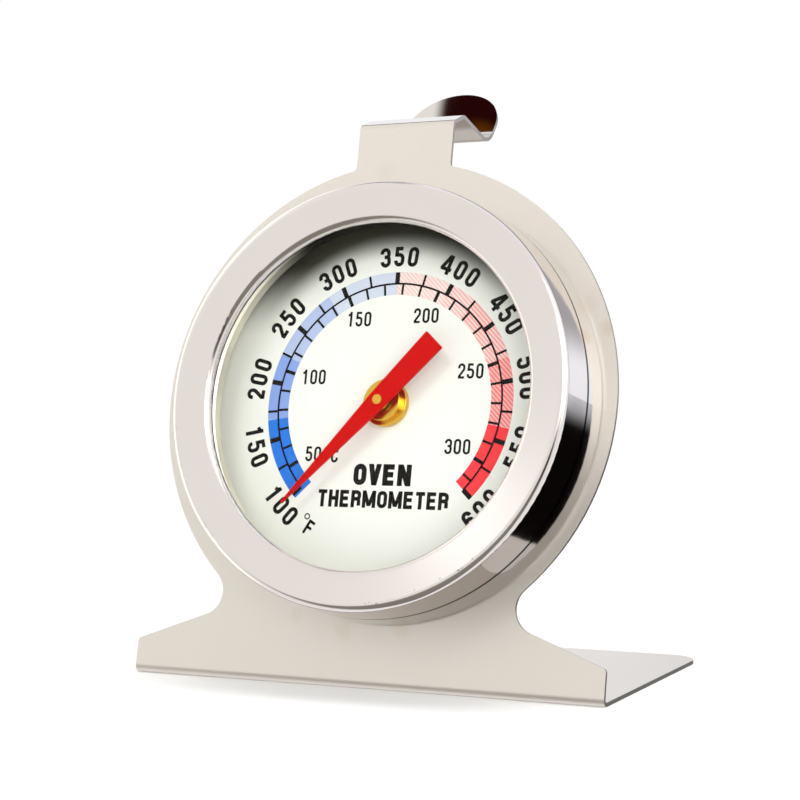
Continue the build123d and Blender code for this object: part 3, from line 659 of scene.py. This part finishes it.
# ---------------------------------------------------------------- operators
class DressSteel(bpy.types.Operator):
    """Satin stand, spun bezel and polished case"""

    bl_idname = "thermometer.dress_steel"
    bl_label = "Dress the steel"

    def execute(self, context):
        finish = context.scene.thermometer_finish
        dress("stand_bracket", stand_steel(finish))
        dress("bezel_ring", spun_steel("spun_bezel", finish.bezel_tint, finish.bezel_roughness, 0.02, 0.8))
        dress("case_cup", spun_steel("drawn_case", finish.case_tint, finish.case_roughness, 0.01))
        plain = sheet_steel("plated_steel", PLATED_TINT, 0.3)
        for name in ("case_rivets", "anchor_rivet", "movement_bridge", "coil_anchor"):
            dress(name, plain)
        dress("bimetal_coil", sheet_steel("coil_strip", COIL_TINT, 0.35))
        ring = ring_aluminium(RING_TINT)
        dress("lens_ring", ring)
        dress("dial_spacer", ring)
        return {"FINISHED"}


class DressBrass(bpy.types.Operator):
    """Turned brass bush, bearing, hub, collet, washer and spindle"""

    bl_idname = "thermometer.dress_brass"
    bl_label = "Dress the brass"

    def execute(self, context):
        brass = turned_metal("turned_brass", context.scene.thermometer_finish.brass, 0.20)
        for name in ("dial_bush", "rear_bush", "coil_hub", "pointer_collet", "thrust_washer", "spindle"):
            dress(name, brass)
        return {"FINISHED"}


class DressGlass(bpy.types.Operator):
    """Clear lens and its dark gasket"""

    bl_idname = "thermometer.dress_glass"
    bl_label = "Dress the glass"

    def execute(self, context):
        dress("glass_lens", clear_glass("lens_glass_clear", GLASS_TINT))
        dress("lens_gasket", coated("dark_gasket", GASKET_TINT, 0.7))
        return {"FINISHED"}


class DressPointer(bpy.types.Operator):
    """Red paint on the pointer"""

    bl_idname = "thermometer.dress_pointer"
    bl_label = "Dress the pointer"

    def execute(self, context):
        red = context.scene.thermometer_finish.pointer_red
        dress("pointer", coated("red_paint", red, 0.45, 0.02, 0.06))
        return {"FINISHED"}


class PrintDial(bpy.types.Operator):
    """White dial with its colour band, two scales, figures and words"""

    bl_idname = "thermometer.print_dial"
    bl_label = "Print the dial"

    def execute(self, context):
        dial = context.scene.thermometer_dial
        dress("dial_plate", dial_white(dial.paper))
        ink = coated("black_ink", dial.ink_black, 0.5, 0.02, 0.06)
        blue = printed_ink("blue_ink", dial.ink_blue, dial.paper, False)
        red = printed_ink("red_ink", dial.ink_red, dial.paper, True)
        for piece, material in (
                (self.band("colour_band_cool", dial, COOL_ZONES), blue),
                (self.band("colour_band_hot", dial, HOT_ZONES), red),
                (self.scale(dial), ink), (self.outer_figures(dial), ink), (self.inner_figures(dial), ink),
                (self.words(), ink)):
            piece.data.materials.append(material)
            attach(piece, "thermometer")
        return {"FINISHED"}

    @staticmethod
    def angle(dial, fahrenheit):
        """Angle of a temperature, clockwise from the top, in radians: the scale is even."""
        middle = (dial.low + dial.high) / 2
        return dial.tilt + (fahrenheit - middle) / (dial.high - dial.low) * dial.sweep

    def band(self, name, dial, zones):
        """Part of the colour band: one curved stroke for each zone of even coverage."""
        ink = Ink(INK_FOOT, BAND_HIGH)
        radius, width = (dial.band_inner + dial.band_outer) / 2, dial.band_outer - dial.band_inner
        for low, high, coverage in zones:
            arc = circle(radius, CURVE_POINTS, self.angle(dial, low), self.angle(dial, high))
            ink.add(stroke_sides(arc, width), value=coverage)
        return ink.piece(name, "coverage")

    def scale(self, dial):
        """The line between the scales, marks outwards every 25 F and inwards every 10 C, where a Celsius
        mark sits at 1.8 times its value plus 32."""
        ink = Ink(INK_FOOT, SCALE_HIGH)
        start, stop = self.angle(dial, dial.low), self.angle(dial, dial.high)
        ink.add(stroke_sides(circle(dial.arc_radius, SCALE_POINTS, start, stop), ARC_WEIGHT))
        for fahrenheit in np.arange(dial.low, dial.high + 1, OUTER_STEP):
            major = fahrenheit % FIGURE_STEP == 0
            self.mark(ink, self.angle(dial, fahrenheit), dial.arc_radius, dial.band_outer,
                      MAJOR_WEIGHT if major else MINOR_WEIGHT)
        for celsius in INNER_MARKS:
            major = celsius % FIGURE_STEP == 0
            self.mark(ink, self.angle(dial, celsius * 1.8 + 32), dial.band_inner, dial.arc_radius,
                      INNER_MAJOR_WEIGHT if major else MINOR_WEIGHT)
        return ink.piece("dial_scale")

    @staticmethod
    def mark(ink, angle, inner, outer, weight):
        """Straight mark between two radii."""
        line = np.array([[0, inner], [0, outer]])
        ink.add(turned(stroke_sides(line, weight), angle))

    def outer_figures(self, dial):
        """Fahrenheit figures and the unit; the lowest ones have their tops towards the centre."""
        ink = Ink(INK_FOOT, FIGURE_HIGH)
        lowest, highest = OUTWARD_FIGURES
        for fahrenheit in range(int(dial.low), int(dial.high) + 1, FIGURE_STEP):
            word_round(ink, str(fahrenheit), self.angle(dial, fahrenheit), OUTER_FIGURE_RADIUS,
                       *OUTER_LETTERS, outward=lowest <= fahrenheit <= highest)
        for text, before, radius, letters in UNIT_MARKS:
            angle = self.angle(dial, dial.low) - math.radians(before)
            word_round(ink, text, angle, radius, *letters, outward=False)
        return ink.piece("fahrenheit_figures")

    def inner_figures(self, dial):
        """Celsius figures, level, each a little inside its mark."""
        ink = Ink(INK_FOOT, FIGURE_HIGH)
        for text, centre in CELSIUS_FIGURES:
            word_level(ink, text, centre, *INNER_LETTERS)
        return ink.piece("celsius_figures")

    @staticmethod
    def words():
        """The two lines that say what the dial is."""
        ink = Ink(INK_FOOT, FIGURE_HIGH)
        for text, centre, letters in DIAL_WORDS:
            word_level(ink, text, centre, *letters)
        return ink.piece("dial_words")


class BuildStage(bpy.types.Operator):
    """Pale floor that clears towards its rim, soft lights, surroundings and camera"""

    bl_idname = "thermometer.build_stage"
    bl_label = "Build the stage"

    def execute(self, context):
        stage = context.scene.thermometer_stage
        self.floor(stage)
        self.lights()
        self.surroundings(context.scene)
        self.camera(context.scene, stage)
        context.scene.view_settings.view_transform = "Standard"
        return {"FINISHED"}

    @staticmethod
    def floor(stage):
        """Level round floor of rings of points (radius * cos, radius * sin), clear towards its rim."""
        radii = np.linspace(FLOOR_START, FLOOR_RADIUS, FLOOR_RINGS)[:, None]
        turns = np.linspace(0, 2 * math.pi, FLOOR_TURNS, endpoint=False)[None, :]
        points = np.stack([radii * np.cos(turns), radii * np.sin(turns), 0 * radii * turns], axis=-1)
        quads = grid_faces(FLOOR_RINGS, FLOOR_TURNS, wrap_columns=True)[:, ::-1]
        floor = add_piece("floor", points.reshape(-1, 3), quads)
        material, tree, shader = new_material("pale_floor")
        darker = [c * 0.99 for c in stage.floor_tint]
        shade = mix_colour(tree, noise(tree, FLOOR_CLOUD, 3), darker, stage.floor_tint)
        tree.links.new(shade, shader.inputs["Base Color"])
        shader.inputs["Roughness"].default_value = 0.9
        far = node(tree, "ShaderNodeVectorMath", {0: place(tree)}, operation="LENGTH").outputs["Value"]
        clear = smooth(tree, far, *(share * FLOOR_RADIUS for share in FLOOR_FADE))
        fade = node(tree, "ShaderNodeMixShader", {0: clear, 1: shader.outputs[0],
                                                  2: node(tree, "ShaderNodeBsdfTransparent").outputs[0]})
        output = next(n for n in tree.nodes if n.type == "OUTPUT_MATERIAL")
        tree.links.new(fade.outputs[0], output.inputs["Surface"])
        floor.data.materials.append(material)
        floor.visible_glossy = False

    @staticmethod
    def lights():
        """Square lamps, each turned from straight down by the pitch and heading of its aim."""
        for name, place_at, target, size, power in SOFT_LIGHTS:
            lamp = bpy.data.lights.new(name, "AREA")
            lamp.shape, lamp.size, lamp.energy = "SQUARE", size, power
            holder = bpy.data.objects.new(name, lamp)
            bpy.context.scene.collection.objects.link(holder)
            aim = np.array(target) - np.array(place_at)
            heading = math.atan2(-aim[0], aim[1])
            pitch = math.atan2(math.hypot(aim[0], aim[1]), -aim[2])
            holder.location, holder.rotation_euler = place_at, (pitch, 0, heading)
            holder.visible_glossy = False

    @staticmethod
    def surroundings(scene):
        """Plain white to the eye.  Metal mirrors a studio: pale walls, bright panels and dark gaps.  Each is
        a window in heading (from +Y towards +X) and elevation, or a cap round a direction."""
        world = bpy.data.worlds.new("studio")
        scene.world = world
        world.use_nodes = True
        tree = world.node_tree
        tree.nodes.clear()
        output = node(tree, "ShaderNodeOutputWorld")
        direction = node(tree, "ShaderNodeTexCoord").outputs["Generated"]
        axes = node(tree, "ShaderNodeSeparateXYZ", {0: direction})
        x, y, z = (axes.outputs[axis] for axis in "XYZ")
        heading = math_node(tree, "ARCTAN2", x, y)
        elevation = math_node(tree, "ARCSINE", z)
        glow = mix_colour(tree, smooth(tree, y, *STUDIO_BLEND), STUDIO_FRONT, STUDIO_BACK)
        for middle, inner, outer, tone in STUDIO_CAPS:
            middle = np.array(middle) / np.linalg.norm(middle)
            near = node(tree, "ShaderNodeVectorMath", {0: direction, 1: tuple(middle)},
                        operation="DOT_PRODUCT").outputs["Value"]
            share = smooth(tree, near, math.cos(math.radians(outer)), math.cos(math.radians(inner)))
            glow = mix_colour(tree, share, glow, tone)
        for left, right, low, high, soft, tone in STUDIO_WINDOWS:
            left, right, low, high, soft = (math.radians(angle) for angle in (left, right, low, high, soft))
            share = product(tree, window(tree, heading, left, right, soft),
                            window(tree, elevation, low, high, soft))
            glow = mix_colour(tree, share, glow, tone)
        seen = node(tree, "ShaderNodeBackground", {"Color": (1, 1, 1, 1), "Strength": 1.0})
        mirrored = node(tree, "ShaderNodeBackground", {"Color": glow, "Strength": 1.0})
        soft_light = node(tree, "ShaderNodeBackground", {"Color": AMBIENT_TINT, "Strength": AMBIENT})
        path = node(tree, "ShaderNodeLightPath")
        both = node(tree, "ShaderNodeMixShader", {0: path.outputs["Is Diffuse Ray"], 1: mirrored.outputs[0],
                                                  2: soft_light.outputs[0]})
        final = node(tree, "ShaderNodeMixShader", {0: path.outputs["Is Camera Ray"], 1: both.outputs[0],
                                                   2: seen.outputs[0]})
        tree.links.new(final.outputs[0], output.inputs["Surface"])

    @staticmethod
    def camera(scene, stage):
        """Perspective camera that the scene looks through."""
        lens = bpy.data.cameras.new("camera")
        lens.lens, lens.sensor_width = stage.lens, SENSOR_WIDTH
        lens.clip_start = NEAR_CLIP
        holder = bpy.data.objects.new("camera", lens)
        holder.location, holder.rotation_euler = stage.eye, stage.turn
        scene.collection.objects.link(holder)
        scene.camera = holder


# ---------------------------------------------------------------- what the print measures
BAND_HIGH = 0.010           # tops of the inks, mm above the dial
SCALE_HIGH = 0.020
FIGURE_HIGH = 0.020
ARC_WEIGHT = 0.24           # widths of lines and marks, mm
MAJOR_WEIGHT = 0.60
MINOR_WEIGHT = 0.29
INNER_MAJOR_WEIGHT = 0.44
CURVE_POINTS = 24           # points on a zone of the band and on a round glyph
SCALE_POINTS = 160          # points on the line between the scales
OUTER_STEP = 25             # degrees F between marks
FIGURE_STEP = 50            # degrees between figures, on either scale
INNER_MARKS = range(40, 320, 10)
OUTWARD_FIGURES = (200, 500)            # from and to: their tops point outwards
OUTER_FIGURE_RADIUS = 18.4  # mm
OUTER_LETTERS = (1.37, 2.50, 0.47, 0.52)    # width, height, stroke width and gap of letters, mm
INNER_LETTERS = (0.93, 1.86, 0.28, 0.26)
UNIT_MARKS = (              # text, degrees before the first figure, radius in mm, letters
    (DEGREE, 12.0, 17.1, (1.0, 1.0, 0.14, 0)), ("F", 15.6, 17.9, (1.05, 1.9, 0.34, 0)))
DIAL_WORDS = (              # text, its middle on the dial in mm, letters
    ("OVEN", (0.18, -8.70), (1.72, 2.62, 0.66, 0.24)),
    ("THERMOMETER", (0.45, -11.70), (1.32, 2.10, 0.46, 0.20)))
CELSIUS_FIGURES = (         # text, its middle on the dial in mm
    ("50", (-9.46, -6.31)), (DEGREE + "C", (-7.0, -6.4)), ("100", (-10.43, 3.32)), ("150", (-4.88, 10.58)),
    ("200", (4.16, 10.91)), ("250", (10.63, 4.04)), ("300", (9.73, -5.11)))
COOL_ZONES = (              # from and to in degrees F, coverage of the ink
    (96, 168, 1.0), (168, 224, 0.74), (224, 286, 0.50), (286, 350, 0.30))
HOT_ZONES = ((350, 400, 0.24), (400, 425, 0.32), (425, 480, 0.44), (480, 538, 0.66), (538, 600, 1.0))
SCREEN_PITCH = 0.00056      # metres between lines, added along both of the dial's axes
SCREEN_BLUR = 0.12
SCREEN_CONTRAST = 0.4       # of the lines against the tint between them
SOLID_FROM = 0.95           # coverage that prints without lines
INK_THINNEST = 0.94         # share of the ink left in the thinnest patch

# ---------------------------------------------------------------- plain finishes
PLATED_TINT = (0.62, 0.62, 0.61)
COIL_TINT = (0.60, 0.55, 0.48)
RING_TINT = (0.82, 0.78, 0.66)
GLASS_TINT = (0.985, 0.995, 0.985)
GLASS_IOR = 1.15            # under the 1.5 of window glass, for a pane that mirrors little
GASKET_TINT = (0.03, 0.028, 0.025)
RING_ROUGHNESS = (0.35, 0.5)
UNEVEN = 0.02               # drift of the sheet's roughness

# ---------------------------------------------------------------- grain, in noise cells per metre, and relief
SHEET_GRAIN = 9000
SHEET_CLOUD = 90
ROLLED = (0.03, 1, 1)       # draws the sheet's grain out along X
LATHE_GRAIN = 14000
LATHE_CLOUD = 130
TURNED_GRAIN = 12000
TURNED_CLOUD = 900
RING_GRAIN = 5000
PEEL_GRAIN = 5000
COAT_CLOUD = 500
INK_PATCH = 1500
FLOOR_CLOUD = 40
SHEET_RELIEF = 0.12         # shares of full relief
SPUN_RELIEF = 0.05
TURNED_RELIEF = 0.15
RING_RELIEF = 0.1
PEEL_RELIEF = 0.06
FINE_DEPTH = 0.00002        # metres from a grain's foot to its top
SPUN_DEPTH = 0.00001

# ---------------------------------------------------------------- wear, and painted shade
STAINS = (                  # place on the dial's frame and reach, mm, and depth
    (-11.5, -25.8, 1.4, 0.10), (-4.8, -27.3, 1.8, 0.14), (2.9, -26.9, 1.8, 0.14), (-4.9, 30.5, 1.8, 0.10),
    (23.6, 12.7, 1.6, 0.12), (26.4, 9.9, 1.6, 0.30))
STAIN_BROWN = (0.80, 0.62, 0.42)
STAIN_EDGE = 700            # noise cells per metre in a stain's ragged edge
STAIN_RAGGED = (0.35, 1.65)     # least and most that the noise multiplies the distance by
SPOT_CORE = 0.25            # share of a spot's reach that is full strength
FACES_FRONT = (-0.5, -0.8)  # Y of a surface normal: none and all of the front's stains
FACES_SIDE = (0.12, 0.35)   # size of its X: none and all of a sheared edge
SHEARED_SHARE = 0.45        # of the sheet's tint left on a sheared edge
SATIN_METALLIC = 0.86       # the rolled sheet is part mirror, part matt
HOOK_POLISH_MM = (68.6, 69.6)   # height over which the burnished hook begins
HOOK_ROUGHNESS = 0.02
PIT_RING_MM = (24.7, 25.1, 0.2)     # radius from and to, and softness
PIT_RIGHT_MM = (2.0, 16.0, 2.0)     # the same to the right of the axis
PIT_LOW_MM = (-16.0, -18.0)     # up the dial: none and all
PIT_GRAIN = 3200            # noise cells per metre
PIT_SHARE = (0.70, 0.75)    # noise that begins and completes a pit
PIT_TONE = (0.12, 0.09, 0.07)
SEAM_BAND_MM = (1.58, 2.00, 0.1)   # from, to and softness above the dial of the nearly black band where the bezel meets the case
# depth and colour of that nearly black band
SEAM_BAND_DEPTH = 0.92
SEAM_BAND_TONE = (0.02, 0.012, 0.006)
SKIRT_MM = (25.3, 25.75)    # radius where the bezel's satin face gives way to its polished skirt
SKIRT_ROUGHNESS = 0.08
RING_SHADE_LEAN = (0.24, 0.97)   # right and up: where the ring's painted shade is blackest
RING_SHADE_COSINES = (0.35, 0.75)   # cosines: none and all of the ring's painted shade
# colour of the ring's painted shade under the top of the bezel
RING_SHADE_TONE = (0.015, 0.012, 0.008)
RIM_SHADE_MM = (15.0, 22.5)  # radius over which the dial's painted shade greys it towards the rim
# colour of the dial's painted shade towards the rim
RIM_SHADE_TONE = (0.985, 0.99, 0.96)
DIAL_SHADE_MM = (18.0, 21.6)     # radius, and height above the axis, over which the painted shadow of the bezel's top deepens
DIAL_SHADE_UP_MM = (8.0, 18.0)
# colour of the painted shadow of the bezel's top on the dial
DIAL_SHADE_TONE = (0.045, 0.042, 0.030)

# ---------------------------------------------------------------- studio
FLOOR_START = 0.001         # radii of the floor, metres
FLOOR_RADIUS = 0.55
FLOOR_RINGS = 12
FLOOR_TURNS = 72
FLOOR_FADE = (0.45, 0.98)   # shares of the radius: opaque and clear
SENSOR_WIDTH = 36.0         # mm
NEAR_CLIP = 0.01            # metres
AMBIENT = 0.60
AMBIENT_TINT = (1, 0.99, 0.97, 1)
STUDIO_BLEND = (-0.2, 0.4)  # Y of a direction: all front and all back
STUDIO_FRONT = (0.93, 0.93, 0.92)
STUDIO_BACK = (1.0, 1.03, 1.11)
STUDIO_CAPS = (             # direction, degrees to the inner and outer edge, tone
    ((-0.6076, -0.6291, 0.4848), 2, 5.5, (2.1, 2.1, 2.1)),
    ((0.80, -0.25, 0.50), 20, 30, (2.0, 2.0, 2.0)),
    ((0.44, -0.80, 0.42), 9, 16, (2.2, 2.2, 2.2)),
    ((0.44, -0.89, -0.12), 16, 24, (0.004, 0.003, 0.003)),
    ((-0.3564, 0.0472, 0.9340), 3.1, 3.5, (0.020, 0.002, 0.002)),
    ((-0.3908, 0.0385, 0.9189), 0.2, 0.9, (0.13, 0.04, 0.002)),
    ((-0.436, 0.43, 0.79), 7, 11, (0.10, 0.09, 0.08)),
)
STUDIO_WINDOWS = (          # headings, elevations and softness in degrees, tone
    (-110, -45, -30, 40, 8, (1.4, 1.4, 1.35)),
    (-48, 44, -43, -14, 6, (0.36, 0.34, 0.32)),
    (-12, 30, 14, 46, 8, (0.42, 0.42, 0.44)),
    (12, 46, -37, -8, 10, (0.003, 0.002, 0.002)),
    (-190, -140, -90, -6, 6, (0.24, 0.23, 0.21)),
    (135, 190, -90, -6, 6, (0.24, 0.23, 0.21)),
)
SOFT_LIGHTS = (             # name, place, target, width in metres, watts
    ("key_softbox", (-0.07, -0.62, 0.50), (0, 0, 0.03), 0.30, 1.3),
    ("fill_softbox", (0.48, -0.62, 0.24), (0, 0, 0.03), 0.40, 2.6),
    ("top_softbox", (0.10, 0.05, 0.80), (0, 0, 0.03), 0.5, 2.8),
)


# ---------------------------------------------------------------- panel and registration
STEPS = (DressSteel, DressBrass, DressGlass, DressPointer, PrintDial, BuildStage)
SETTINGS = (("thermometer_dial", DialSettings), ("thermometer_finish", FinishSettings),
            ("thermometer_stage", StageSettings))


class ThermometerPanel(bpy.types.Panel):
    """Lists the steps that dress the thermometer"""

    bl_idname = "VIEW3D_PT_thermometer"
    bl_label = "Oven thermometer"
    bl_space_type = "VIEW_3D"
    bl_region_type = "UI"
    bl_category = "Thermometer"

    def draw(self, context):
        for step in STEPS:
            self.layout.operator(step.bl_idname)


def register():
    for name, group in SETTINGS:
        bpy.utils.register_class(group)
        setattr(bpy.types.Scene, name, bpy.props.PointerProperty(type=group))
    for step in (*STEPS, ThermometerPanel):
        bpy.utils.register_class(step)


def unregister():
    for step in (*STEPS, ThermometerPanel):
        bpy.utils.unregister_class(step)
    for name, group in SETTINGS:
        delattr(bpy.types.Scene, name)
        bpy.utils.unregister_class(group)


def main():
    register()
    bpy.ops.thermometer.dress_steel()
    bpy.ops.thermometer.dress_brass()
    bpy.ops.thermometer.dress_glass()
    bpy.ops.thermometer.dress_pointer()
    bpy.ops.thermometer.print_dial()
    bpy.ops.thermometer.build_stage()


if __name__ == "__main__":
    main()
